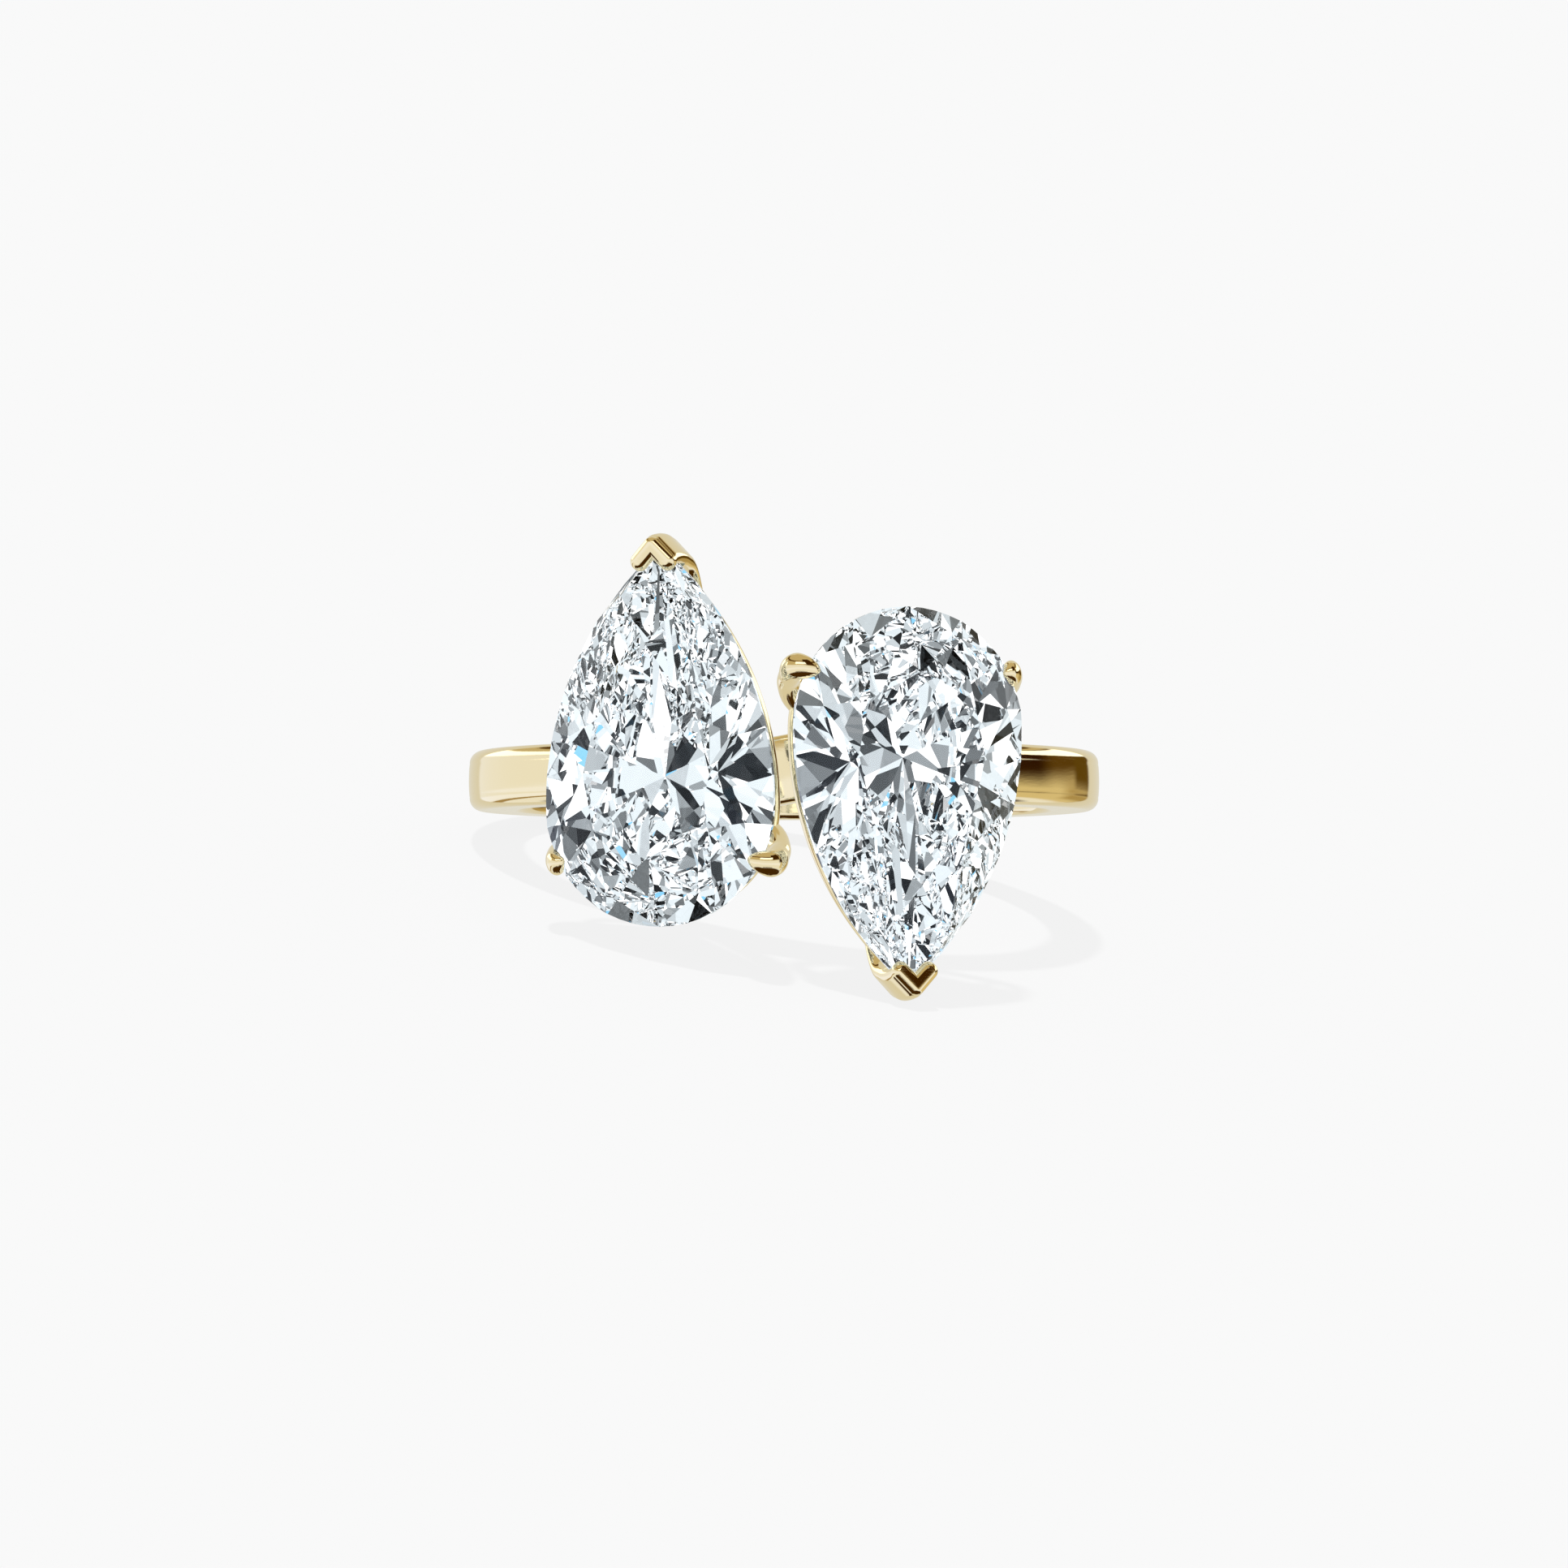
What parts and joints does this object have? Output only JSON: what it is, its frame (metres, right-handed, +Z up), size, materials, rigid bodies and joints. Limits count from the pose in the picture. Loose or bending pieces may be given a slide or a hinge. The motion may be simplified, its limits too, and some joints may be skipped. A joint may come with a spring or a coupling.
{
  "type": "toi et moi ring",
  "caption": "Gold finger ring with paired pear-cut stones side by side, tips pointing opposite ways, each held in a basket by claw prongs and a V prong.",
  "frame": {"origin": "centre of the finger hole, halfway across the band", "axes": "+Z up with the ring lying on its side, the head with the two stones towards -Y, and the finger hole's axis leaning about 16 degrees from +Z"},
  "size_m": [0.0206, 0.0257, 0.0129],
  "materials": {
    "yellow_gold": "polished yellow gold",
    "clear_stone": "clear faceted gemstone"
  },
  "bodies": {
    "root": {"gold_ring": "yellow_gold", "pear_stone_up": "clear_stone", "pear_stone_down": "clear_stone"}
  },
  "joints": []
}
